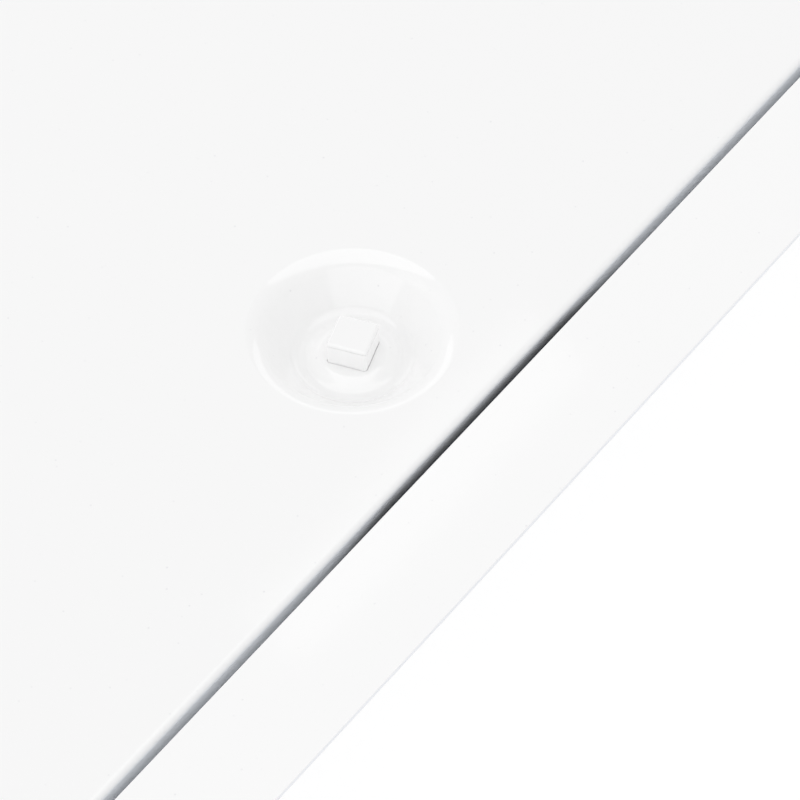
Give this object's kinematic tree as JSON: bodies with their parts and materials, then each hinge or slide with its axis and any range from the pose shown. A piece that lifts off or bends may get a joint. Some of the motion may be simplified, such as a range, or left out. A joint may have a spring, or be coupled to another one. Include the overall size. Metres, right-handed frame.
{
  "type": "ceiling access panel",
  "caption": "Flush square access panel for a ceiling: folded sheet-steel frame with overlapping flange, hinged lift-off door and a quarter-turn latch on a recessed square key stud.",
  "frame": {"origin": "middle of the frame's back plane, under the middle of the panel", "axes": "+Z out of the face of the panel, +X along the lock edge, +Y from the lock edge to the hinge edge"},
  "size_m": [0.334, 0.334, 0.036],
  "materials": {
    "white_powder_coat": "white powder coat, semi-gloss, on folded steel sheet",
    "zinc_plated_steel": "bright zinc plate",
    "spring_steel": "oiled spring steel",
    "foam_seal": "closed-cell foam strip",
    "nylon": "natural nylon"
  },
  "bodies": {
    "frame": {"frame_rail_lock": "white_powder_coat", "frame_rail_hinge": "white_powder_coat", "frame_rail_left": "white_powder_coat", "frame_rail_right": "white_powder_coat", "corner_bracket_lock_left": "zinc_plated_steel", "corner_bracket_lock_right": "zinc_plated_steel", "corner_bracket_hinge_left": "zinc_plated_steel", "corner_bracket_hinge_right": "zinc_plated_steel", "corner_rivets": "zinc_plated_steel", "stop_angle_lock": "white_powder_coat", "stop_angle_left": "white_powder_coat", "stop_angle_right": "white_powder_coat", "seal_strip_lock": "foam_seal", "seal_strip_left": "foam_seal", "seal_strip_right": "foam_seal", "edge_buffer": "foam_seal", "pivot_bush_left": "nylon", "pivot_bush_right": "nylon"},
    "door": {"door_panel": "white_powder_coat", "door_stiffener": "white_powder_coat", "hinge_bracket_left": "zinc_plated_steel", "hinge_bracket_right": "zinc_plated_steel", "hinge_spring_left": "spring_steel", "hinge_spring_right": "spring_steel", "lock_bush": "nylon"},
    "lock": {"lock_spindle": "white_powder_coat", "spring_washer": "spring_steel", "latch_cam": "zinc_plated_steel", "split_washer": "spring_steel", "cam_nut": "zinc_plated_steel"},
    "left_pin": {"hinge_pin_left": "zinc_plated_steel", "pin_clip_left": "spring_steel"},
    "right_pin": {"hinge_pin_right": "zinc_plated_steel", "pin_clip_right": "spring_steel"}
  },
  "joints": [
    {"name": "door_hinge", "type": "hinge", "parent": "frame", "child": "door", "pos_m": [0, 0.1312, 0.03], "axis": [-1, 0, 0], "range_deg": [0, 105]},
    {"name": "lock_turn", "type": "hinge", "parent": "door", "child": "lock", "pos_m": [0, -0.1195, 0.03], "axis": [0, 0, 1], "range_deg": [-18.5, 71.5]},
    {"name": "left_pin_slide", "type": "slide", "parent": "door", "child": "left_pin", "axis": [1, 0, 0], "range_m": [0, 0.006], "stiffness_N_per_m": 400, "springref_m": -0.01, "deforming": ["hinge_spring_left"]},
    {"name": "right_pin_slide", "type": "slide", "parent": "door", "child": "right_pin", "axis": [-1, 0, 0], "range_m": [0, 0.006], "stiffness_N_per_m": 400, "springref_m": -0.01, "deforming": ["hinge_spring_right"]}
  ]
}
